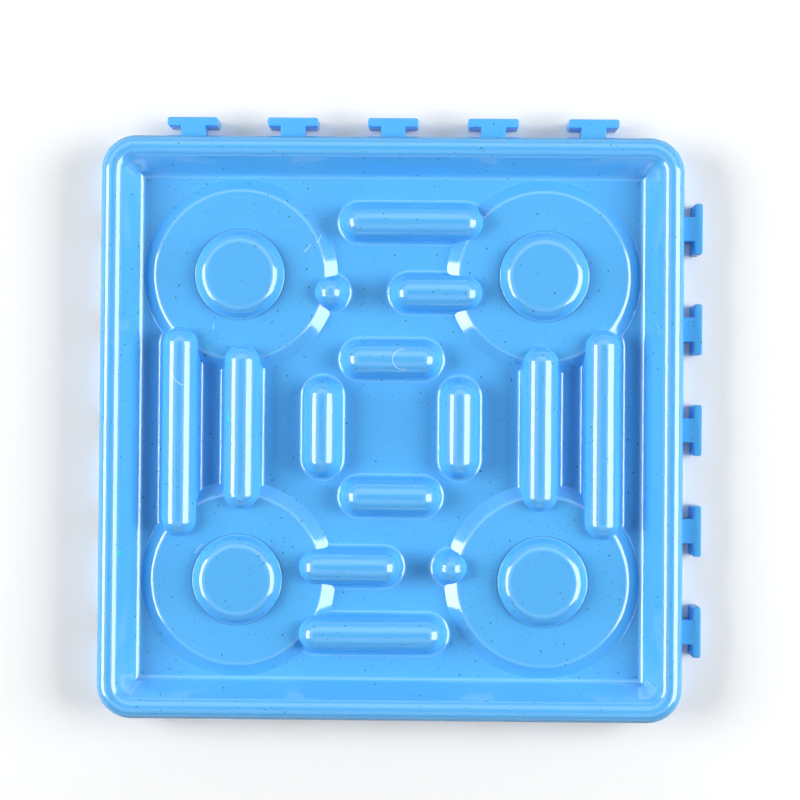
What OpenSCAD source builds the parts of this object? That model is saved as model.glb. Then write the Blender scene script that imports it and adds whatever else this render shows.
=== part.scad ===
// Square lick mat for a dog: a shallow tray with a rounded rim, four low discs with a
// button on each, bars and domes to lick food out of, and T tabs on two sides that hook
// under the rim of the next mat. Millimetres, Z up, the table at Z = 0, the mat's centre
// at the origin, the two sides with tabs at the back (+Y) and the right (+X).

/* [Mat] */
// Width and length across the rim, without the tabs
mat_size = 200; // [192:1:240]
// Height of the rim above the table
rim_height = 14; // [13.5:0.25:17]
// Corner radius of the rim, seen from above
corner_r = 12; // [9:0.5:14]
// Wall thickness of the moulding
wall = 2.2; // [1.8:0.1:2.5]
// Height of the upper face of the floor
floor_top = 4.5; // [3.5:0.25:5.5]

/* [Rim] */
// Radius of the bead along the top of the rim
bead_r = 4.1; // [3.6:0.1:4.6]
// Distance from the outer edge to the flat floor
rim_width = 14.5; // [14.25:0.25:16]
// Radius where the inner wall runs into the floor
wall_fillet = 3; // [2:0.25:4]
// Thickness of the upright skirt under the bead
skirt_t = 3; // [2.4:0.1:3.3]

/* [Discs] */
// Width of the passage between two neighbouring discs
passage_w = 37.5; // [33:0.5:44]
// Width of the sloping edge of a disc
disc_slope = 5.4; // [4.8:0.1:7]
// Height of a disc above the floor
disc_h = 2.8; // [2.6:0.1:3.4]
// Radius of the upper edge of a disc
disc_edge_r = 3; // [2.4:0.1:3.4]
// Length by which a disc runs into the fillet of the wall
disc_lap = 0.85; // [0:0.05:1.2]

/* [Buttons] */
// Diameter of a button where it meets its disc
button_d = 31; // [26:0.5:34]
// Width of the rounded edge of a button
button_slope = 5.3; // [4.8:0.1:6.5]
// Height of a button above its disc
button_h = 4.2; // [3.8:0.1:4.8]
// Radius of the upper edge of a button
button_edge_r = 3; // [2.6:0.1:3.4]

/* [Bars] */
// Width of a bar at the floor, with its fillets
bar_w = 16.4; // [15.4:0.2:17]
// Height of a bar above the floor
bar_h = 8; // [7.2:0.1:8.6]
// Radius of the crown of a bar
crown_r = 5.2; // [4.6:0.1:5.6]
// Radius where a bar or a dome runs into the floor
bar_fillet = 2; // [1:0.1:2.4]
// Floor that shows between the side wall and the long bar
wall_gap = 4.4; // [3:0.2:8]
// Distance between a long and a medium upright bar
upright_pitch = 21.4; // [18:0.2:23]
// Reach of the long upright bars past the passage, measured at the end centre
long_lap = 11.35; // [8:0.05:13]
// Shift of the long upright bars towards the front
long_shift = 1.8; // [0:0.2:4]
// Reach of the medium upright bars past the passage, measured at the end centre
medium_lap = 3.75; // [0:0.05:5]
// Floor that shows between the wall and the long crossing bars
row_gap = 6.3; // [4.5:0.1:8]
// Floor that shows between the ends of two neighbouring centre bars
ring_gap = 1.9; // [1:0.1:4]
// Shift of the short crossing bars and the domes towards the front
short_shift = 0.65; // [0:0.05:1.2]
// Reach of the crossing bars over a disc, measured at the end centre
cross_lap = 6.45; // [2:0.05:8]
// Distance from the free end centre of the long bar at the back to the end of the passage
back_long_stop = 7.45; // [5:0.05:18]
// Distance from the free end centre of the long bar at the front to the end of the passage
front_long_stop = 5.75; // [5:0.05:18]
// Floor that shows between the dome and the short bar at the back
back_dome_gap = 11.3; // [5:0.1:15]
// Floor that shows between the dome and the short bar at the front
front_dome_gap = 7.7; // [5:0.1:15]

/* [Domes] */
// Diameter of a dome at the floor, with its fillet
dome_d = 15.2; // [14.4:0.2:16.4]
// Height of a dome above the floor
dome_h = 7.6; // [6.9:0.1:8.2]
// Radius of the crown of a dome
dome_r = 4.9; // [4.2:0.1:5.1]
// Reach of a dome over a disc, measured at its middle
dome_lap = 2.35; // [0:0.05:3.5]

/* [Tabs] */
// Distance from the middle of the outermost tabs to the end of their side
tab_margin = 30.8; // [26:0.2:38]
// Width of the head of a tab
tab_w = 17.5; // [14:0.5:20]
// Thickness of the head of a tab
head_t = 3; // [2.2:0.1:3.2]
// Width of the stem of a tab
stem_w = 8.4; // [6:0.2:11]
// Height of a tab
tab_h = 8.5; // [6:0.25:8.5]
// Radius of the upright edges of a tab's head
tab_edge_r = 0.9; // [0.3:0.1:1]
// Room left around a tab in the notch that takes it
fit_gap = 0.4; // [0.2:0.05:0.5]

/* [Hidden] */
$fn = 72;
arc_steps = 8;
// Low step at which a raised form starts, so that its edge isn't a knife edge
lip = 0.2;
// Overrun of a cutting solid past the face that it cuts
over = 1;
// Fillet of the discs and the buttons
small_fillet = 0.4;

half = mat_size / 2;
floor_half = half - rim_width;
corner_c = half - corner_r;
bead_c = [half - bead_r, rim_height - bead_r];
fillet_c = [floor_half, floor_top + wall_fillet];
floor_under = floor_top - wall;
disc_r = (floor_half + disc_lap - passage_w / 2) / 2;
disc_pos = passage_w / 2 + disc_r;
disc_top = floor_top + disc_h;
long_x = floor_half - wall_gap - bar_w / 2;
medium_x = long_x - upright_pitch;
// The crossing bars lie in three evenly spaced rows on either side of the middle
long_row = floor_half - row_gap - bar_w / 2;
row_pitch = long_row / 3;
back_short_row = 2 * row_pitch - short_shift;
front_short_row = -2 * row_pitch - short_shift;
cross_reach = passage_w / 2 + cross_lap;
dome_x = passage_w / 2 + dome_lap;
dome_stop = dome_x - dome_d / 2 - bar_w / 2;
long_len = passage_w + 2 * long_lap;
medium_len = passage_w + 2 * medium_lap;
centre_len = 2 * row_pitch - (bar_w + ring_gap) * sqrt(2);
back_long_len = cross_reach + passage_w / 2 - back_long_stop;
front_long_len = cross_reach + passage_w / 2 - front_long_stop;
back_short_len = cross_reach + dome_stop - back_dome_gap;
front_short_len = cross_reach + dome_stop - front_dome_gap;
stem_len = skirt_t + 2 * fit_gap;
tab_places = [-2, -1, 0, 1, 2];
tab_pitch = (mat_size - 2 * tab_margin) / (len(tab_places) - 1);
mat_blue = [0.35, 0.71, 0.99];

// Points of an arc, its angles counted from straight up, positive to the right
function arc(c, r, from, to) =
    [for (i = [0 : arc_steps]) let (a = from + (to - from) * i / arc_steps) c + r * [sin(a), cos(a)]];

// Slope of the straight flank that runs from a rounded edge down into a fillet:
// run and drop lie between the two centres
function flank(run, drop, edge_r, fillet_r) =
    asin((edge_r + fillet_r) / norm([run, drop])) + atan2(drop, run);

// Half outline of a raised form: base half-width, flat half-width, height, edge and fillet
function form(base, flat, h, edge_r, fillet_r) = [base, flat, h, edge_r, fillet_r];
function form_flank(f) = flank(f[0] - f[1], f[2] - f[3] - f[4] - lip, f[3], f[4]);
function form_outline(f, depth) = concat(
    [[0, -depth], [0, f[2]]],
    arc(edge_centre(f), f[3], 0, form_flank(f)),
    arc([f[0], lip + f[4]], f[4], form_flank(f) - 180, -180),
    [[f[0], -depth]]
);

// Half outline of the hollow under a raised form, one wall inside it
function edge_centre(f) = [f[1], f[2] - f[3]];
function flank_point(f) = edge_centre(f) + (f[3] - wall) * [sin(form_flank(f)), cos(form_flank(f))];
function hollow_half(f, z) = flank_point(f)[0] + (flank_point(f)[1] - z) / tan(form_flank(f));
function hollow_base(f) = hollow_half(f, 0);
function hollow_top(f) = f[3] > wall
    ? arc(edge_centre(f), f[3] - wall, 0, form_flank(f))
    : [[hollow_half(f, f[2] - wall), f[2] - wall]];
function hollow_outline(f, depth) = concat(
    [[0, -depth], [0, f[2] - wall]],
    hollow_top(f),
    [[hollow_base(f), 0], [hollow_base(f), -depth]]
);

disc_form = form(disc_r, disc_r - disc_slope, disc_h, disc_edge_r, small_fillet);
button_form = form(button_d / 2, button_d / 2 - button_slope, button_h, button_edge_r, small_fillet);
bar_form = form(bar_w / 2, 0, bar_h, crown_r, bar_fillet);
dome_form = form(dome_d / 2, 0, dome_h, dome_r, bar_fillet);

// Cross-section of the rim, from its outer edge over the bead and down the inner wall
rim_slope = flank(bead_c[0] - fillet_c[0], bead_c[1] - fillet_c[1], bead_r, wall_fillet);

module rim_section() {
    polygon(concat(
        arc(bead_c, bead_r, 90, -rim_slope),
        arc(fillet_c, wall_fillet, 180 - rim_slope, 180),
        arc(fillet_c, wall_fillet + wall, 180, 180 - rim_slope),
        arc(bead_c, bead_r - wall, -rim_slope, 90)
    ));
}

module skirt_section() {
    translate([half - skirt_t, 0])
        square([skirt_t, bead_c[1]]);
}

// Runs a cross-section along the right side of the mat, between the rounded corners
module along_side() {
    rotate([90, 0, 0])
        linear_extrude(height = 2 * corner_c, center = true)
            children();
}

// Space between the two mitres of the right side, where neighbouring walls meet
module mitre_wedge() {
    translate([0, 0, -over])
        linear_extrude(height = rim_height + 2 * over)
            polygon([
                [0, 0], [corner_c, -corner_c], [half + over, -corner_c],
                [half + over, corner_c], [corner_c, corner_c]
            ]);
}

module at_discs() {
    for (x = [-1, 1])
        for (y = [-1, 1])
            translate([x * disc_pos, y * disc_pos, floor_top])
                children();
}

module revolved(outline) {
    rotate_extrude()
        polygon(outline);
}

// A disc without its hollow, to cut away whatever a disc takes the place of
module disc_body() {
    revolved(form_outline(disc_form, over));
}

module rim_side() {
    difference() {
        intersection() {
            along_side() rim_section();
            mitre_wedge();
        }
        at_discs() cylinder(r = disc_r, h = disc_h);
    }
}

module skirt_side() {
    along_side() skirt_section();
}

// Notches, open at the bottom, that let the stems of the next mat's tabs in
module notched_skirt() {
    difference() {
        skirt_side();
        for (i = tab_places)
            translate([half - skirt_t - over, i * tab_pitch - stem_w / 2 - fit_gap, -over])
                cube([skirt_t + 2 * over, stem_w + 2 * fit_gap, tab_h + fit_gap + over]);
    }
}

module rim_corner() {
    translate([corner_c, corner_c, 0])
        rotate_extrude(angle = 90)
            translate([-corner_c, 0])
                intersection() {
                    union() {
                        rim_section();
                        skirt_section();
                    }
                    translate([corner_c, -over])
                        square([corner_r + over, rim_height + 2 * over]);
                }
}

module disc_shell() {
    difference() {
        revolved(form_outline(disc_form, 0));
        revolved(hollow_outline(disc_form, over));
        translate([0, 0, -over])
            cylinder(r = hollow_base(button_form), h = disc_h + 2 * over);
    }
}

module button_shell() {
    difference() {
        revolved(form_outline(button_form, 0));
        revolved(hollow_outline(button_form, over));
    }
}

// A straight run along X with a half turn of the same outline at each end
module run_with_ends(len, outline) {
    rotate([90, 0, 90])
        linear_extrude(height = len, center = true)
            union() {
                polygon(outline);
                mirror([1, 0]) polygon(outline);
            }
    for (s = [-1, 1])
        translate([s * len / 2, 0, 0])
            rotate([0, 0, -s * 90])
                rotate_extrude(angle = 180)
                    polygon(outline);
}

// Puts a bar on the floor: p is its middle, turn 90 for an upright bar
module placed(p, turn) {
    translate([p[0], p[1], floor_top])
        rotate([0, 0, turn])
            children();
}

// Hollow under a bar, kept one wall clear of the discs
module bar_hollow(p, turn, len) {
    difference() {
        placed(p, turn) run_with_ends(len, hollow_outline(bar_form, wall + over));
        at_discs()
            translate([0, 0, -wall - 2 * over])
                cylinder(r = disc_r + wall, h = bar_h + wall + 3 * over);
    }
}

module bar(p, turn, len) {
    difference() {
        placed(p, turn) run_with_ends(len, form_outline(bar_form, 0));
        at_discs() disc_body();
        bar_hollow(p, turn, len);
    }
}

module dome(p) {
    difference() {
        placed(p, 0) revolved(form_outline(dome_form, 0));
        at_discs() disc_body();
    }
}

// Middle, turn and length of every bar
back_long = [[cross_reach - back_long_len / 2, long_row], 0, back_long_len];
back_short = [[cross_reach - back_short_len / 2, back_short_row], 0, back_short_len];
front_long = [[front_long_len / 2 - cross_reach, -long_row], 0, front_long_len];
front_short = [[front_short_len / 2 - cross_reach, front_short_row], 0, front_short_len];
centre_back = [[0, row_pitch], 0, centre_len];
centre_front = [[0, -row_pitch], 0, centre_len];
centre_right = [[row_pitch, 0], 90, centre_len];
medium_right = [[medium_x, 0], 90, medium_len];
long_right = [[long_x, -long_shift], 90, long_len];
crossing_bars = [back_long, back_short, front_long, front_short, centre_back, centre_front];
upright_bars = [centre_right, medium_right, long_right];

module bar_of(b) {
    color(mat_blue) bar(b[0], b[1], b[2]);
}

// The upright bars on the left are mirror images of those on the right
module left_bar_of(b) {
    mirror([1, 0, 0]) bar_of(b);
}

// One T tab on the right side: a stem from the skirt and a head with rounded upright edges
module tab(place) {
    translate([half, place * tab_pitch, 0])
        linear_extrude(height = tab_h)
            union() {
                translate([0, -stem_w / 2])
                    square([stem_len + head_t / 2, stem_w]);
                translate([stem_len + tab_edge_r, -tab_w / 2])
                    square([head_t - 2 * tab_edge_r, tab_w]);
                translate([stem_len, tab_edge_r - tab_w / 2])
                    square([head_t, tab_w - 2 * tab_edge_r]);
                for (x = [stem_len + tab_edge_r, stem_len + head_t - tab_edge_r])
                    for (y = [-1, 1])
                        translate([x, y * (tab_w / 2 - tab_edge_r)])
                            circle(r = tab_edge_r);
            }
}

module tab_right(n) {
    color(mat_blue) tab(tab_places[n]);
}

module tab_back(n) {
    color(mat_blue) rotate([0, 0, 90]) tab(-tab_places[n]);
}

module tray_floor() {
    color(mat_blue)
        difference() {
            translate([-floor_half, -floor_half, floor_under])
                cube([2 * floor_half, 2 * floor_half, wall]);
            at_discs() revolved(hollow_outline(disc_form, wall + over));
            for (b = concat(crossing_bars, upright_bars))
                bar_hollow(b[0], b[1], b[2]);
            for (b = upright_bars)
                mirror([1, 0, 0]) bar_hollow(b[0], b[1], b[2]);
        }
}

module rim_right() { color(mat_blue) rim_side(); }
module rim_back() { color(mat_blue) rotate([0, 0, 90]) rim_side(); }
module rim_left() { color(mat_blue) rotate([0, 0, 180]) rim_side(); }
module rim_front() { color(mat_blue) rotate([0, 0, 270]) rim_side(); }

module skirt_right() { color(mat_blue) skirt_side(); }
module skirt_back() { color(mat_blue) rotate([0, 0, 90]) skirt_side(); }
module skirt_left() { color(mat_blue) rotate([0, 0, 180]) notched_skirt(); }
module skirt_front() { color(mat_blue) rotate([0, 0, 270]) notched_skirt(); }

module corner_back_right() { color(mat_blue) rim_corner(); }
module corner_back_left() { color(mat_blue) rotate([0, 0, 90]) rim_corner(); }
module corner_front_left() { color(mat_blue) rotate([0, 0, 180]) rim_corner(); }
module corner_front_right() { color(mat_blue) rotate([0, 0, 270]) rim_corner(); }

module disc_back_right() { color(mat_blue) translate([disc_pos, disc_pos, floor_top]) disc_shell(); }
module disc_back_left() { color(mat_blue) translate([-disc_pos, disc_pos, floor_top]) disc_shell(); }
module disc_front_left() { color(mat_blue) translate([-disc_pos, -disc_pos, floor_top]) disc_shell(); }
module disc_front_right() { color(mat_blue) translate([disc_pos, -disc_pos, floor_top]) disc_shell(); }

module button_back_right() { color(mat_blue) translate([disc_pos, disc_pos, disc_top]) button_shell(); }
module button_back_left() { color(mat_blue) translate([-disc_pos, disc_pos, disc_top]) button_shell(); }
module button_front_left() { color(mat_blue) translate([-disc_pos, -disc_pos, disc_top]) button_shell(); }
module button_front_right() { color(mat_blue) translate([disc_pos, -disc_pos, disc_top]) button_shell(); }

module dome_back() { color(mat_blue) dome([-dome_x, back_short_row]); }
module dome_front() { color(mat_blue) dome([dome_x, front_short_row]); }

tray_floor();
rim_left();
rim_right();
rim_back();
rim_front();
skirt_left();
skirt_right();
skirt_back();
skirt_front();
corner_back_left();
corner_back_right();
corner_front_left();
corner_front_right();
disc_back_left();
disc_back_right();
disc_front_left();
disc_front_right();
button_back_left();
button_back_right();
button_front_left();
button_front_right();
bar_of(back_long);  // bar_back_long
bar_of(back_short);  // bar_back_short
bar_of(front_long);  // bar_front_long
bar_of(front_short);  // bar_front_short
bar_of(centre_back);  // bar_centre_back
bar_of(centre_front);  // bar_centre_front
left_bar_of(centre_right);  // bar_centre_left
bar_of(centre_right);  // bar_centre_right
left_bar_of(medium_right);  // bar_medium_left
bar_of(medium_right);  // bar_medium_right
left_bar_of(long_right);  // bar_long_left
bar_of(long_right);  // bar_long_right
dome_back();
dome_front();
tab_back(0);  // tab_back_1
tab_back(1);  // tab_back_2
tab_back(2);  // tab_back_3
tab_back(3);  // tab_back_4
tab_back(4);  // tab_back_5
tab_right(0);  // tab_right_1
tab_right(1);  // tab_right_2
tab_right(2);  // tab_right_3
tab_right(3);  // tab_right_4
tab_right(4);  // tab_right_5
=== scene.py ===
import math

import bmesh
import bpy
from mathutils import Matrix, Vector


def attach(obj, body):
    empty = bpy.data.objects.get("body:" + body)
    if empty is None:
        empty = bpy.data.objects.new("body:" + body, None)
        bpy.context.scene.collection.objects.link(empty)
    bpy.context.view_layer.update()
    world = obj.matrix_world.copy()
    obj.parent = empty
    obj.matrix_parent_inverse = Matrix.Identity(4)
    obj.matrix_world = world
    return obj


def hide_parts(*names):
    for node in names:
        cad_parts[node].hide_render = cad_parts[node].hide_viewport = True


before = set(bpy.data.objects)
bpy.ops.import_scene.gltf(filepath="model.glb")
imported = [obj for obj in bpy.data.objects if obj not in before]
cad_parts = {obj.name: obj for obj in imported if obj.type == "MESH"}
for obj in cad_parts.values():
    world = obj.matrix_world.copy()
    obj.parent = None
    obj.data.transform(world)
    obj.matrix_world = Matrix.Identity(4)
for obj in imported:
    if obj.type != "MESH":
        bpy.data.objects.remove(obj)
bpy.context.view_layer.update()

mm = 0.001          # pieces are shaped in millimetres and scaled to metres at the end

# Sizes that several pieces share
floorTop = 4.5      # upper face of the tray's floor, which every raised form stands on
rimTop = 14.0
wall = 2.2
discAt = 52.55      # distance of the discs' middles from both middle lines
buttonFoot = 15.5
joins = {"pitch": 34.6, "places": (-2, -1, 0, 1, 2)}        # tabs and the notches that take them

# Small distances of the modelling itself
weld = {"points": 0.0005, "slivers": 0.0002, "plane": 0.0001}
slack = 0.01        # what counts as the same place
tiny = 1e-6
hair = 0.004        # cutters lie this far below the face that stays
lift = 0.01         # raised forms stand this far proud, so that no two faces lie in one plane
spare = 1.0         # cutters reach this far past what they cut


def vertsOf(geom):
    return [g for g in geom if isinstance(g, bmesh.types.BMVert)]


def edgesOf(geom):
    return [g for g in geom if isinstance(g, bmesh.types.BMEdge)]


# Profiles: a chain of points in the XZ plane, run by arcs and straight bits

def startChain(bm, x, z):
    return [bm.verts.new((x, 0, z))]


def lineTo(bm, chain, x, z):
    made = bmesh.ops.extrude_vert_indiv(bm, verts=[chain[-1]])["verts"][0]
    made.co = (x, 0, z)
    chain.append(made)


def arcTo(bm, chain, centre, degrees, steps):
    geom = [chain[-1]]
    for step in range(steps):       # a spin of one point, step by step, keeps the chain in order
        spun = bmesh.ops.spin(bm, geom=geom, cent=(centre[0], 0, centre[1]), axis=(0, 1, 0),
                              angle=math.radians(degrees / steps), steps=1)
        geom = vertsOf(spun["geom_last"])
        chain.append(geom[0])


# Lean of the straight line that touches a round edge and the fillet below it
def tangentAngle(run, drop, radii):
    return math.degrees(math.asin(radii / math.hypot(run, drop)) + math.atan2(drop, run))


def flankOf(form):
    return tangentAngle(form["base"] - form["flat"], form["height"] - form["edge"] - form["fillet"],
                        form["edge"] + form["fillet"])


def onArc(centre, radius, degrees):
    a = math.radians(degrees)
    return centre[0] + radius * math.sin(a), centre[1] + radius * math.cos(a)


# Outer skin of a raised form: flat top, rounded edge, straight flank, fillet on the floor
def skinChain(bm, form, start=0):
    flank = flankOf(form)
    edgeAt = (form["flat"], form["height"] - form["edge"])
    filletAt = (form["base"], form["fillet"])
    chain = startChain(bm, start, form["height"])
    if form["flat"] > 0:
        lineTo(bm, chain, form["flat"] - form["lead"], form["height"])
        lineTo(bm, chain, form["flat"], form["height"])
    arcTo(bm, chain, edgeAt, flank, form["edgeSteps"])
    top = Vector(onArc(edgeAt, form["edge"], flank))
    foot = Vector(onArc(filletAt, form["fillet"], flank - 180))
    down = (foot - top).normalized() * form["lead"]     # short leads keep the flank's shading straight
    for p in (top + down, foot - down, foot):
        lineTo(bm, chain, p[0], p[1])
    arcTo(bm, chain, filletAt, -flank, form["filletSteps"])
    lineTo(bm, chain, form["base"] + form["lead"], 0)
    lineTo(bm, chain, form["base"] + form["lead"], -form["sink"])
    return chain


# Hollow under a raised form, one wall inside its skin
def hollowChain(bm, form, start=0):
    flank = flankOf(form)
    edgeAt = (form["flat"], form["height"] - form["edge"])
    inner = form["edge"] - wall
    roof = form["height"] - wall
    slide = math.tan(math.radians(flank))
    side = onArc(edgeAt, inner, flank)
    chain = startChain(bm, start, roof)
    if inner > 0:
        if form["flat"] > 0:
            lineTo(bm, chain, form["flat"], roof)
        arcTo(bm, chain, edgeAt, flank, form["edgeSteps"] // 2)
    else:
        lineTo(bm, chain, side[0] + (side[1] - roof) / slide, roof)
    lineTo(bm, chain, side[0] + side[1] / slide, 0)
    return chain


def hollowBase(form):
    bm = bmesh.new()
    base = hollowChain(bm, form)[-1].co.x
    bm.free()
    return base


def solidChain(bm, form):
    lineTo(bm, skinChain(bm, form), 0, -form["sink"])


def cutterChain(bm, form):
    depth = wall + spare
    chain = hollowChain(bm, form)
    lineTo(bm, chain, chain[-1].co.x, -depth)
    lineTo(bm, chain, 0, -depth)


# Skin and hollow in one closed section; start is the radius of a hole in the top
def shellChain(bm, form, start=0):
    skin, hollow = skinChain(bm, form, start), hollowChain(bm, form, start)
    lineTo(bm, hollow, hollow[-1].co.x, -form["sink"])
    bm.edges.new((skin[-1], hollow[-1]))
    if start > 0:
        bm.edges.new((skin[0], hollow[0]))


def closeUp(bm):
    bmesh.ops.remove_doubles(bm, verts=bm.verts[:], dist=weld["points"])
    bmesh.ops.dissolve_degenerate(bm, edges=bm.edges[:], dist=weld["slivers"])
    bmesh.ops.recalc_face_normals(bm, faces=bm.faces[:])


def turnRound(bm, steps):
    bmesh.ops.spin(bm, geom=bm.verts[:] + bm.edges[:], cent=(0, 0, 0), axis=(0, 0, 1),
                   angle=2 * math.pi, steps=steps, use_merge=True)
    closeUp(bm)


def turnFlat(bm, degrees):
    bmesh.ops.rotate(bm, cent=(0, 0, 0), matrix=Matrix.Rotation(math.radians(degrees), 3, "Z"),
                     verts=bm.verts[:])


# A straight run with a half turn of the same profile at each end, along X
def runWithEnds(bm, length, steps):
    turnFlat(bm, -90)
    bmesh.ops.translate(bm, vec=(length / 2, 0, 0), verts=bm.verts[:])
    geom = bm.verts[:] + bm.edges[:]
    for end in (1, -1):
        spun = bmesh.ops.spin(bm, geom=geom, cent=(end * length / 2, 0, 0), axis=(0, 0, 1),
                              angle=math.pi, steps=steps)
        run = bmesh.ops.extrude_edge_only(bm, edges=edgesOf(spun["geom_last"]))["geom"]
        moved = vertsOf(run)
        bmesh.ops.translate(bm, vec=(-end * length, 0, 0), verts=moved)
        geom = moved + [e for e in edgesOf(run) if all(v in moved for v in e.verts)]
    closeUp(bm)


def place(bm, x, y, z, turn=0):
    if turn:
        turnFlat(bm, turn)
    bmesh.ops.translate(bm, vec=(x, y, z), verts=bm.verts[:])


def raiseUp(bm, height):
    raised = bmesh.ops.extrude_face_region(bm, geom=bm.faces[:], use_keep_orig=True)["geom"]
    bmesh.ops.translate(bm, vec=(0, 0, height), verts=vertsOf(raised))


def roundEdges(bm, edges, radius, steps):
    bmesh.ops.bevel(bm, geom=edges, offset=radius, offset_type="OFFSET", affect="EDGES", segments=steps,
                    profile=0.5, clamp_overlap=True, material=-1)


def toObject(bm, name):
    mesh = bpy.data.meshes.new(name)
    bm.to_mesh(mesh)
    bm.free()
    obj = bpy.data.objects.new(name, mesh)
    bpy.context.scene.collection.objects.link(obj)
    return obj


def carve(target, cutter):
    cut = target.modifiers.new("carve", "BOOLEAN")
    cut.operation = "DIFFERENCE"
    cut.solver = "EXACT"
    cut.object = cutter
    graph = bpy.context.evaluated_depsgraph_get()
    mesh = bpy.data.meshes.new_from_object(target.evaluated_get(graph))
    target.modifiers.clear()
    old = target.data
    target.data = mesh
    bpy.data.meshes.remove(old)


def throwAway(obj):
    mesh = obj.data
    bpy.data.objects.remove(obj)
    bpy.data.meshes.remove(mesh)


def joined(objs, name):
    bm = bmesh.new()
    for obj in objs:
        bm.from_mesh(obj.data)
    return toObject(bm, name)


# Shader helpers: a value is a number, a colour or another node's socket

def give(tree, socket, value):
    if isinstance(value, bpy.types.NodeSocket):
        tree.links.new(value, socket)
    else:
        socket.default_value = value


def maths(tree, operation, *values):
    node = tree.nodes.new("ShaderNodeMath")
    node.operation = operation
    for socket, value in zip(node.inputs, values):
        give(tree, socket, value)
    return node.outputs["Value"]


def vectorMaths(tree, operation, *values, out="Vector"):
    node = tree.nodes.new("ShaderNodeVectorMath")
    node.operation = operation
    for socket, value in zip(node.inputs, values):
        give(tree, socket, value)
    return node.outputs[out]


def objectPoint(tree):
    return tree.nodes.new("ShaderNodeTexCoord").outputs["Object"]


def fade(tree, value, stops):       # grey levels by place along the ramp
    node = tree.nodes.new("ShaderNodeValToRGB")
    while len(node.color_ramp.elements) < len(stops):
        node.color_ramp.elements.new(1)
    for element, (at, level) in zip(node.color_ramp.elements, stops):
        element.position = at
        element.color = (level, level, level, 1)
    tree.links.new(value, node.inputs["Fac"])
    return node.outputs["Color"]


def mixColours(tree, factor, first, second, blend="MIX"):
    node = tree.nodes.new("ShaderNodeMix")
    node.data_type = "RGBA"
    node.blend_type = blend
    give(tree, node.inputs["Factor"], factor)
    colours = [s for s in node.inputs if s.type == "RGBA"]
    for socket, value in zip(colours, (first, second)):
        give(tree, socket, value)
    return [s for s in node.outputs if s.type == "RGBA"][0]


def mixShaders(tree, factor, first, second):
    node = tree.nodes.new("ShaderNodeMixShader")
    for socket, value in zip(node.inputs, (factor, first, second)):
        tree.links.new(value, socket)
    return node.outputs["Shader"]


# The finish of the moulding: glossy sky blue with fine dark specks, a few marks of use, and painted shade
# round the foot of each button
finish = {
    "blue": (0.108, 0.50, 0.98, 1),
    "blueDeep": (0.096, 0.475, 0.97, 1),
    "cloudScale": 38,
    "cloudDetail": 3,
    "speck": (0.012, 0.165, 0.21, 1),
    "brightSpeck": (0.05, 0.75, 0.55, 1),
    "specks": (     # scale, radius as a share of a cell, colour
        (420, 0.095, "speck"), (230, 0.08, "speck"), (120, 0.035, "brightSpeck"),
    ),
    "speckCore": 0.7,       # share of the radius that is fully coloured
    "roughness": 0.1,
    "bend": 1.5,            # index of refraction
    "gloss": 0.5,
    "tabGloss": 0.12,       # the tabs' sides are dull
    "rippleScale": 70,
    "rippleDetail": 2,
    "rippleHeight": 0.09,
    "scuff": (0.42, 0.72, 0.98, 1),
    "scuffHalf": 0.17,
    "scuffs": (     # middle, radius, way it faces and span of each stroke, in millimetres and degrees
        (4, 23.5, 3.5, 185, 210), (-69.3, 19.6, 5.8, 220, 66), (-52.55, -52.55, 17.1, 142, 14),
        (-36.8, 68.2, 10, -40, 20), (-34.6, 68.5, 10, -20, 18), (-71.4, 35.9, 10, -8, 11),
        (-24, -11, 2, 180, 70),
    ),
    "smearHalf": 0.4,
    "smears": ((-102.5, -43.5, 10, 0, 8), (-65.5, 3, 10, 0, 14)),
    "paintedShade": (0.07, 0.34, 0.74, 1),        # painted shade: a dark line round the foot of each button, standing in for the shade in the crease
    "paintedShadeOut": 0.2,
    "paintedShadeHalf": 0.25,
}


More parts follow.
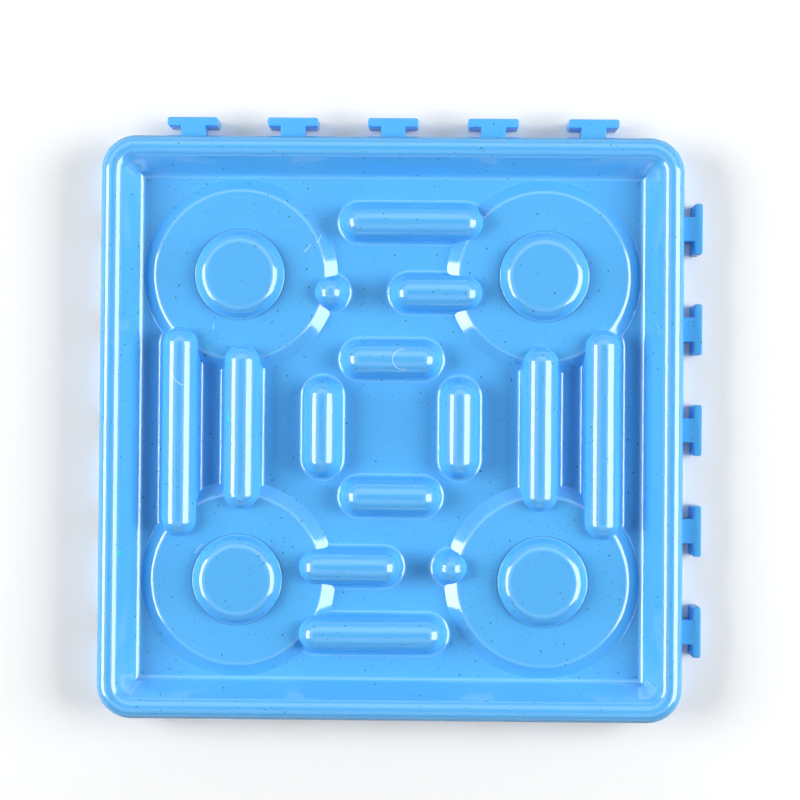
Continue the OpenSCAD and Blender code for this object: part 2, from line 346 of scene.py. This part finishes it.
def makeFinish(name, gloss, marksAndShade):
    mat = bpy.data.materials.new(name)
    mat.use_nodes = True
    tree = mat.node_tree
    shader = tree.nodes["Principled BSDF"]
    shader.inputs["Roughness"].default_value = finish["roughness"]
    shader.inputs["IOR"].default_value = finish["bend"]
    shader.inputs["Specular IOR Level"].default_value = gloss
    where = objectPoint(tree)

    def noise(scale, detail):
        tex = tree.nodes.new("ShaderNodeTexNoise")
        tex.inputs["Scale"].default_value = scale
        tex.inputs["Detail"].default_value = detail
        tree.links.new(where, tex.inputs["Vector"])
        return tex.outputs["Fac"]

    def specks(scale, radius):
        tex = tree.nodes.new("ShaderNodeTexVoronoi")
        tex.inputs["Scale"].default_value = scale
        tree.links.new(where, tex.inputs["Vector"])
        return fade(tree, tex.outputs["Distance"], ((radius * finish["speckCore"], 1), (radius, 0)))

    def flatFrom(point, x, y):
        apart = vectorMaths(tree, "SUBTRACT", point, (x * mm, y * mm, 0))
        return vectorMaths(tree, "MULTIPLY", apart, (1, 1, 0))

    def ring(around, radius, half):
        off = maths(tree, "SUBTRACT", vectorMaths(tree, "LENGTH", around, out="Value"), radius * mm)
        return maths(tree, "LESS_THAN", maths(tree, "ABSOLUTE", off), half * mm)

    def stroke(half, x, y, radius, towards, span):
        around = flatFrom(where, x, y)
        a = math.radians(towards)
        facing = vectorMaths(tree, "DOT_PRODUCT", vectorMaths(tree, "NORMALIZE", around),
                             (math.cos(a), math.sin(a), 0), out="Value")
        within = maths(tree, "GREATER_THAN", facing, math.cos(math.radians(span / 2)))
        return maths(tree, "MULTIPLY", ring(around, radius, half), within)

    clouds = noise(finish["cloudScale"], finish["cloudDetail"])
    body = mixColours(tree, clouds, finish["blueDeep"], finish["blue"])
    for scale, radius, colour in finish["specks"]:
        body = mixColours(tree, specks(scale, radius), body, finish[colour])
    if marksAndShade:
        for mark in finish["scuffs"]:
            body = mixColours(tree, stroke(finish["scuffHalf"], *mark), body, finish["scuff"])
        for mark in finish["smears"]:
            body = mixColours(tree, stroke(finish["smearHalf"], *mark), body, finish["brightSpeck"])
        oneQuarter = vectorMaths(tree, "ABSOLUTE", where)       # one ring of painted shade does for all four buttons
        around = flatFrom(oneQuarter, discAt, discAt)
        # painted shade: a dark ring round each button's foot, where the crease lies in shade
        paintedShade = ring(around, buttonFoot + finish["paintedShadeOut"], finish["paintedShadeHalf"])
        body = mixColours(tree, paintedShade, body, finish["paintedShade"])
    tree.links.new(body, shader.inputs["Base Color"])

    bump = tree.nodes.new("ShaderNodeBump")
    bump.inputs["Strength"].default_value = 1
    bump.inputs["Distance"].default_value = finish["rippleHeight"] * mm
    tree.links.new(noise(finish["rippleScale"], finish["rippleDetail"]), bump.inputs["Height"])
    tree.links.new(bump.outputs["Normal"], shader.inputs["Normal"])
    return mat


matPlastic = makeFinish("matPlastic", finish["gloss"], True)
tabPlastic = makeFinish("tabPlastic", finish["tabGloss"], False)
print("finish made")

shading = {"sharpAngle": 32}


def finishPiece(obj, *nodes, plastic=matPlastic):
    obj.data.transform(Matrix.Scale(mm, 4))
    obj.data.materials.clear()
    obj.data.materials.append(plastic)
    obj.data.shade_smooth()
    obj.data.set_sharp_from_angle(angle=math.radians(shading["sharpAngle"]))
    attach(obj, "root")
    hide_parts(*nodes)


sides = ("left", "right", "back", "front")
corners = {"BackLeft": (-1, 1), "BackRight": (1, 1), "FrontLeft": (-1, -1), "FrontRight": (1, -1)}


def cadName(words):      # discBackLeft is the CAD node disc_back_left
    return "".join("_" + c.lower() if c.isupper() else c for c in words)


# Discs and their buttons
disc = {"base": 33.8, "flat": 28.4, "height": 2.8, "edge": 3.0, "fillet": 0.4, "sink": 0.05, "lead": 0.25,
        "edgeSteps": 8, "filletSteps": 4, "turnSteps": 168}
button = {"base": buttonFoot, "flat": 10.4, "height": 4.2, "edge": 4.3, "fillet": 0.5, "sink": 0.05,
          "lead": 0.2, "edgeSteps": 12, "filletSteps": 4, "turnSteps": 112}


def column(radius, height, steps):
    bm = bmesh.new()
    bmesh.ops.create_circle(bm, cap_ends=True, segments=steps, radius=radius)
    raiseUp(bm, height)
    closeUp(bm)
    return bm


discBodies, discHollows, discClears = [], [], []
for corner, (sx, sy) in corners.items():
    x, y = sx * discAt, sy * discAt
    bm = bmesh.new()
    shellChain(bm, disc, hollowBase(button))
    turnRound(bm, disc["turnSteps"])
    place(bm, x, y, floorTop + lift)
    finishPiece(toObject(bm, "disc" + corner), cadName("disc" + corner))
    bm = bmesh.new()
    shellChain(bm, button)
    turnRound(bm, button["turnSteps"])
    place(bm, x, y, floorTop + disc["height"] + 2 * lift)
    finishPiece(toObject(bm, "button" + corner), cadName("button" + corner))

    # Cutters: the disc for bars and domes, its hollow for the floor, room round it for the bars' hollows
    bm = bmesh.new()
    solidChain(bm, {**disc, "sink": spare})
    turnRound(bm, disc["turnSteps"])
    place(bm, x, y, floorTop + lift - hair)
    discBodies.append(toObject(bm, "discBody"))
    bm = bmesh.new()
    cutterChain(bm, disc)
    turnRound(bm, disc["turnSteps"])
    place(bm, x, y, floorTop)
    discHollows.append(toObject(bm, "discHollow"))
    bm = column(disc["base"] + wall, rimTop, disc["turnSteps"])
    place(bm, x, y, 0)
    discClears.append(toObject(bm, "discClear"))
allDiscs = joined(discBodies, "allDiscs")
allClears = joined(discClears, "allClears")
print("discs and buttons made")

# Licking bars: middle, turn and length between the end centres
bar = {"base": 8.2, "flat": 0, "height": 8.0, "edge": 6.0, "fillet": 2.0, "sink": 0.05, "lead": 0.2,
       "edgeSteps": 14, "filletSteps": 9, "turnSteps": 36}
bars = {
    "barBackLong": (6.95, 71.0, 0, 36.5),
    "barBackShort": (15.6, 46.68, 0, 19.2),
    "barFrontLong": (-6.1, -71.0, 0, 38.2),
    "barFrontShort": (-13.8, -47.98, 0, 22.8),
    "barCentreBack": (0, 23.67, 0, 21.45),
    "barCentreFront": (0, -23.67, 0, 21.45),
    "barCentreLeft": (-23.67, 0, 90, 21.45),
    "barCentreRight": (23.67, 0, 90, 21.45),
    "barMediumLeft": (-51.5, 0, 90, 45.0),
    "barMediumRight": (51.5, 0, 90, 45.0),
    "barLongLeft": (-72.9, -1.8, 90, 60.2),
    "barLongRight": (72.9, -1.8, 90, 60.2),
}
barHollows = []
for name, (x, y, turn, length) in bars.items():
    bm = bmesh.new()
    cutterChain(bm, bar)
    runWithEnds(bm, length, bar["turnSteps"] // 2)
    place(bm, x, y, floorTop, turn)
    hollow = toObject(bm, "barHollow")
    carve(hollow, allClears)        # the hollow stays one wall clear of the discs
    barHollows.append(hollow)
    cutter = joined([hollow] if name.startswith("barCentre") else [hollow, allDiscs], "barCut")
    bm = bmesh.new()
    solidChain(bm, bar)
    runWithEnds(bm, length, bar["turnSteps"])
    place(bm, x, y, floorTop + lift, turn)
    piece = toObject(bm, name)
    carve(piece, cutter)
    throwAway(cutter)
    finishPiece(piece, cadName(name))
print("bars made")

dome = {"base": 7.6, "flat": 0, "height": 7.6, "edge": 5.3, "fillet": 2.0, "sink": 0.05, "lead": 0.2,
        "edgeSteps": 14, "filletSteps": 9, "turnSteps": 72}
domes = {"domeBack": (-21.1, 46.68), "domeFront": (21.1, -47.98)}
for name, (x, y) in domes.items():
    bm = bmesh.new()
    solidChain(bm, dome)
    turnRound(bm, dome["turnSteps"])
    place(bm, x, y, floorTop + lift)
    piece = toObject(bm, name)
    carve(piece, allDiscs)
    finishPiece(piece, cadName(name))
print("domes made")

# Rim: sloping walls, rounded bead and upright skirt, all round in one frame
rim = {"half": 100.0, "corner": 12.0, "cornerSegments": 18, "bead": 4.1, "width": 14.5, "fillet": 3.0,
       "skirt": 3.0, "beadSteps": 22, "filletSteps": 10, "mitreAt": 11.5, "lead": 0.5, "supportAt": 84.0,
       "levelFace": 0.99}


# Steps of the rim's section as (distance from the edge, height)
def rimSteps(offset):
    beadAt = (rim["bead"], rimTop - rim["bead"])
    filletAt = (rim["width"], floorTop + rim["fillet"])
    slope = tangentAngle(filletAt[0] - beadAt[0], beadAt[1] - filletAt[1], rim["bead"] + rim["fillet"])
    bead, fillet = rim["bead"] - offset, rim["fillet"] + offset
    steps = []
    for i in range(rim["beadSteps"] + 1):
        steps.append(onArc(beadAt, bead, -90 + (90 + slope) * i / rim["beadSteps"]))
    for i in range(rim["filletSteps"] + 1):
        steps.append(onArc(filletAt, fillet, slope - 180 - slope * i / rim["filletSteps"]))
    return steps


def flatFace(bm, up):
    return max((f for f in bm.faces if f.normal.z * up > rim["levelFace"]), key=lambda f: f.calc_area())


def inset(bm, face, thickness, depth=0):
    bmesh.ops.inset_region(bm, faces=[face], thickness=thickness, depth=depth, use_even_offset=True,
                           use_boundary=True)


# Insets the face along the section, and draws the round corners together where they run out
def followSection(bm, face, up, at, steps):
    mitred = False
    for d, z in steps:
        stops = [(d, z)]
        if not mitred and d > rim["mitreAt"]:
            share = (rim["mitreAt"] - at[0]) / (d - at[0])
            stops = [(rim["mitreAt"], at[1] + (z - at[1]) * share), (d, z)]
        for stop in stops:
            inset(bm, face, stop[0] - at[0], (stop[1] - at[1]) * up)
            at = stop
            if not mitred and abs(at[0] - rim["mitreAt"]) < tiny:
                bmesh.ops.remove_doubles(bm, verts=face.verts[:], dist=rim["corner"] - at[0])
                bm.normal_update()
                face = flatFace(bm, up)
                for v in face.verts:
                    v.co.x = math.copysign(rim["half"] - at[0], v.co.x)
                    v.co.y = math.copysign(rim["half"] - at[0], v.co.y)
                mitred = True
    inset(bm, face, rim["lead"])
    return face


bm = bmesh.new()
bmesh.ops.create_grid(bm, x_segments=1, y_segments=1, size=rim["half"])
bmesh.ops.bevel(bm, geom=bm.verts[:], offset=rim["corner"], offset_type="OFFSET", affect="VERTICES",
                segments=rim["cornerSegments"], profile=0.5, clamp_overlap=False, material=-1)
beadLevel = rimTop - rim["bead"]
raiseUp(bm, beadLevel)
bmesh.ops.recalc_face_normals(bm, faces=bm.faces[:])
bm.normal_update()
upper = followSection(bm, flatFace(bm, 1), 1, (0, beadLevel), rimSteps(0)[1:])
bm.normal_update()
lower = flatFace(bm, -1)
inside = [s for s in rimSteps(wall) if s[0] > rim["skirt"] + slack]
inset(bm, lower, rim["skirt"])
lower = followSection(bm, lower, -1, (rim["skirt"], 0), [(rim["skirt"], beadLevel)] + inside)
inner = upper.edges[:] + lower.edges[:]
bmesh.ops.delete(bm, geom=[upper, lower], context="FACES_ONLY")
bmesh.ops.bridge_loops(bm, edges=inner)
closeUp(bm)
# Cuts short of the corners keep the long walls' shading flat
for axis in (Vector((1, 0, 0)), Vector((0, 1, 0))):
    for end in (-1, 1):
        bmesh.ops.bisect_plane(bm, geom=bm.verts[:] + bm.edges[:] + bm.faces[:], dist=weld["plane"],
                               plane_co=axis * end * rim["supportAt"], plane_no=axis)
rimFrame = toObject(bm, "rimFrame")

# Notches in the skirt, on the left and front sides
notch = {"width": 9.2, "height": 8.9, "round": 0.6, "roundSteps": 4}


def isRidge(edge):      # runs along X at the top of the cutter
    a, b = edge.verts[0].co, edge.verts[1].co
    return min(a.z, b.z) > 0 and abs(a.y - b.y) < tiny


cutters = []
for turn in (0, 90):        # left side, then front
    for i in joins["places"]:
        bm = bmesh.new()
        bmesh.ops.create_cube(bm, size=1)
        bmesh.ops.scale(bm, vec=(rim["skirt"] + 2 * spare, notch["width"], notch["height"] + spare),
                        verts=bm.verts[:])
        roundEdges(bm, [e for e in bm.edges if isRidge(e)], notch["round"], notch["roundSteps"])
        place(bm, -rim["half"] + rim["skirt"] / 2, i * joins["pitch"], (notch["height"] - spare) / 2)
        turnFlat(bm, turn)
        cutters.append(toObject(bm, "notchCut"))
allNotches = joined(cutters, "allNotches")
carve(rimFrame, allNotches)
finishPiece(rimFrame, *("rim_" + s for s in sides), *("skirt_" + s for s in sides),
            *(cadName("corner" + c) for c in corners))
print("rim made")

# Floor plate with the openings that the moulder cores out under the discs and bars
floorHalf = rim["half"] - rim["width"] - rim["lead"]
bm = bmesh.new()
bmesh.ops.create_cube(bm, size=1)
bmesh.ops.scale(bm, vec=(2 * floorHalf, 2 * floorHalf, wall), verts=bm.verts[:])
bmesh.ops.translate(bm, vec=(0, 0, floorTop - wall / 2), verts=bm.verts[:])
trayFloor = toObject(bm, "trayFloor")
allHollows = joined(discHollows + barHollows, "allHollows")
carve(trayFloor, allHollows)
finishPiece(trayFloor, "tray_floor")
spares = cutters + discHollows + barHollows + discBodies + discClears
for obj in spares + [allNotches, allHollows, allDiscs, allClears]:
    throwAway(obj)
print("floor made")

# T tabs on the back and right sides
tab = {"headWidth": 17.5, "headThick": 3.0, "stemWidth": 8.4, "stemLength": 3.8, "height": 8.5,
       "uprightRound": 0.9, "uprightSteps": 6, "lipRound": 0.45, "lipSteps": 4}
digits = 4      # grid places are told apart to this many decimals


def isUpright(edge):
    return abs(edge.verts[0].co.z - edge.verts[1].co.z) > slack


def tabShape():
    bm = bmesh.new()
    bmesh.ops.create_grid(bm, x_segments=2, y_segments=3, size=0.5)
    xs = sorted({round(v.co.x, digits) for v in bm.verts})
    ys = sorted({round(v.co.y, digits) for v in bm.verts})
    stem, head = tab["stemWidth"] / 2, tab["headWidth"] / 2
    toX = dict(zip(xs, (0, tab["stemLength"], tab["stemLength"] + tab["headThick"])))
    toY = dict(zip(ys, (-head, -stem, stem, head)))
    for v in bm.verts:
        v.co.x, v.co.y = toX[round(v.co.x, digits)], toY[round(v.co.y, digits)]
    beside = [f for f in bm.faces if f.calc_center_median().x < tab["stemLength"]
              and abs(f.calc_center_median().y) > stem]
    bmesh.ops.delete(bm, geom=beside, context="FACES")
    bmesh.ops.dissolve_faces(bm, faces=bm.faces[:])
    raiseUp(bm, tab["height"])
    closeUp(bm)
    ends = [e for e in bm.edges if isUpright(e) and abs(e.verts[0].co.y) > stem + slack]
    roundEdges(bm, ends, tab["uprightRound"], tab["uprightSteps"])
    lips = [e for e in bm.edges if not isUpright(e) and any(v.co.x > slack for v in e.verts)]
    roundEdges(bm, lips, tab["lipRound"], tab["lipSteps"])
    closeUp(bm)
    return bm


overDiagonal = Matrix(((0, 1, 0), (1, 0, 0), (0, 0, 1))).to_4x4()
for side in ("Right", "Back"):
    for n, i in enumerate(joins["places"]):
        bm = tabShape()
        place(bm, rim["half"], i * joins["pitch"], 0)
        if side == "Back":      # the right side's tabs, mirrored
            bmesh.ops.transform(bm, matrix=overDiagonal, verts=bm.verts[:])
            bmesh.ops.recalc_face_normals(bm, faces=bm.faces[:])
        piece = toObject(bm, f"tab{side}{n + 1}")
        finishPiece(piece, f"tab_{side.lower()}_{n + 1}", plastic=tabPlastic)
print("tabs made")

# Pale table, in metres; it throws little light back on the mat, and far off it fades into the backdrop
backdrop = (0.98, 0.985, 0.99, 1)
table = {"size": 4.0, "cells": 4, "below": 0.0001, "colour": (0.9, 0.905, 0.91, 1), "roughness": 0.6,
         "thrown": (0.25, 0.252, 0.255, 1), "fadeFrom": 0.17, "fadeTo": 0.75}
bm = bmesh.new()
bmesh.ops.create_grid(bm, x_segments=table["cells"], y_segments=table["cells"], size=table["size"] / 2)
bmesh.ops.translate(bm, vec=(0, 0, -table["below"]), verts=bm.verts[:])
tableTop = toObject(bm, "tableTop")


def makeTableWhite():
    mat = bpy.data.materials.new("tableWhite")
    mat.use_nodes = True
    mat.cycles.emission_sampling = "NONE"
    tree = mat.node_tree
    near = tree.nodes["Principled BSDF"]
    near.inputs["Base Color"].default_value = table["colour"]
    near.inputs["Roughness"].default_value = table["roughness"]
    far = tree.nodes.new("ShaderNodeEmission")
    far.inputs["Color"].default_value = backdrop
    away = tree.nodes.new("ShaderNodeMapRange")
    away.inputs["From Min"].default_value = table["fadeFrom"]
    away.inputs["From Max"].default_value = table["fadeTo"]
    tree.links.new(vectorMaths(tree, "LENGTH", objectPoint(tree), out="Value"), away.inputs["Value"])
    thrown = tree.nodes.new("ShaderNodeBsdfDiffuse")
    thrown.inputs["Color"].default_value = table["thrown"]
    ray = tree.nodes.new("ShaderNodeLightPath").outputs
    seen = maths(tree, "MAXIMUM", ray["Is Camera Ray"], ray["Is Glossy Ray"])
    view = mixShaders(tree, away.outputs["Result"], near.outputs["BSDF"], far.outputs["Emission"])
    surface = mixShaders(tree, seen, thrown.outputs["BSDF"], view)
    tree.links.new(surface, tree.nodes["Material Output"].inputs["Surface"])
    return mat


tableTop.data.materials.append(makeTableWhite())

# Lamps: the soft ones light the mat and don't show in its gloss, the shining ones show only there
lamps = {
    "leftSoft": {"at": (-1.25, 0.10, 0.66), "long": 1.0, "tall": 0.66, "power": 20.2, "gloss": False},
    "rightSoft": {"at": (1.25, 0.10, 0.66), "long": 1.0, "tall": 0.70, "power": 20.7, "gloss": False},
    "backSoft": {"at": (0, 1.1, 0.5), "long": 1.2, "tall": 0.5, "power": 1.8, "gloss": False},
    "topSoft": {"at": (0, 0.06, 1.6), "long": 0.5, "tall": 0.5, "power": 1.8, "gloss": False},
    "leftShine": {"at": (-0.95, -0.12, 0.67), "long": 0.94, "tall": 0.50, "power": 25, "gloss": True},
    "rightShine": {"at": (0.95, -0.14, 0.77), "long": 1.06, "tall": 0.86, "power": 36.8, "gloss": True},
}
firstMirror = 2.5       # ray depth that parts the first reflection from later ones


def hangLamp(name, box):
    lamp = bpy.data.lights.new(name, "AREA")
    lamp.shape = "RECTANGLE"
    lamp.size, lamp.size_y = box["long"], box["tall"]
    lamp.energy = box["power"]
    obj = bpy.data.objects.new(name, lamp)
    obj.location = box["at"]
    away = Vector(box["at"])
    away.y = 0 if box["at"][0] else away.y      # side lamps face straight across
    obj.rotation_euler = away.to_track_quat("Z", "Y").to_euler()
    obj.visible_diffuse = not box["gloss"]
    obj.visible_glossy = box["gloss"]
    if box["gloss"]:        # seen once in the gloss, and not in light that the gloss throws on
        lamp.use_nodes = True
        tree = lamp.node_tree
        depth = tree.nodes.new("ShaderNodeLightPath").outputs["Ray Depth"]
        once = maths(tree, "LESS_THAN", depth, firstMirror)
        tree.links.new(once, tree.nodes["Emission"].inputs["Strength"])
    bpy.context.scene.collection.objects.link(obj)


for name, box in lamps.items():
    hangLamp(name, box)

# Room: weak even light, a pale backdrop, and a ceiling that shows in the gloss, dark round the camera
room = {
    "light": (0.03, 0.031, 0.032, 1),
    "ceiling": 3.5,
    "overhead": ((0, 1), (0.1, 0.9), (0.24, 0.15), (0.48, 0.2), (0.68, 0.85), (0.82, 1), (0.93, 0.7),
                 (0.985, 0.08)),
    "frontToBack": ((0.02, 0.9), (0.06, 0.35), (0.4, 0.8), (0.6, 1)),
}
world = bpy.data.worlds.new("room")
bpy.context.scene.world = world
world.use_nodes = True
tree = world.node_tree
even = tree.nodes["Background"]
even.inputs["Color"].default_value = room["light"]
way = tree.nodes.new("ShaderNodeSeparateXYZ")
tree.links.new(tree.nodes.new("ShaderNodeTexCoord").outputs["Generated"], way.inputs["Vector"])
forward = tree.nodes.new("ShaderNodeMapRange")
forward.inputs["From Min"].default_value = -1       # a direction's Y runs from -1 to 1
tree.links.new(way.outputs["Y"], forward.inputs["Value"])
ceiling = mixColours(tree, 1, fade(tree, way.outputs["Z"], room["overhead"]),
                     fade(tree, forward.outputs["Result"], room["frontToBack"]), "MULTIPLY")
mirrored = tree.nodes.new("ShaderNodeBackground")
mirrored.inputs["Strength"].default_value = room["ceiling"]
tree.links.new(ceiling, mirrored.inputs["Color"])
seen = tree.nodes.new("ShaderNodeBackground")
seen.inputs["Color"].default_value = backdrop
ray = tree.nodes.new("ShaderNodeLightPath").outputs
lit = mixShaders(tree, ray["Is Glossy Ray"], even.outputs["Background"], mirrored.outputs["Background"])
lit = mixShaders(tree, ray["Is Camera Ray"], lit, seen.outputs["Background"])
tree.links.new(lit, tree.nodes["World Output"].inputs["Surface"])
bpy.context.scene.view_settings.view_transform = "Standard"

# Camera straight above, a little off the middle, as in the photograph
camera = {"at": (0.00812, 0.00353, 0.52), "turn": (0.689, 0.559, 0.462), "lens": 66.98, "sensor": 36,
          "nearest": 0.01}
cam = bpy.data.cameras.new("camera")
cam.sensor_width = camera["sensor"]
cam.lens = camera["lens"]
cam.clip_start = camera["nearest"]
camObj = bpy.data.objects.new("camera", cam)
camObj.location = camera["at"]
camObj.rotation_euler = [math.radians(a) for a in camera["turn"]]
bpy.context.scene.collection.objects.link(camObj)
bpy.context.scene.camera = camObj
print("light and camera set")
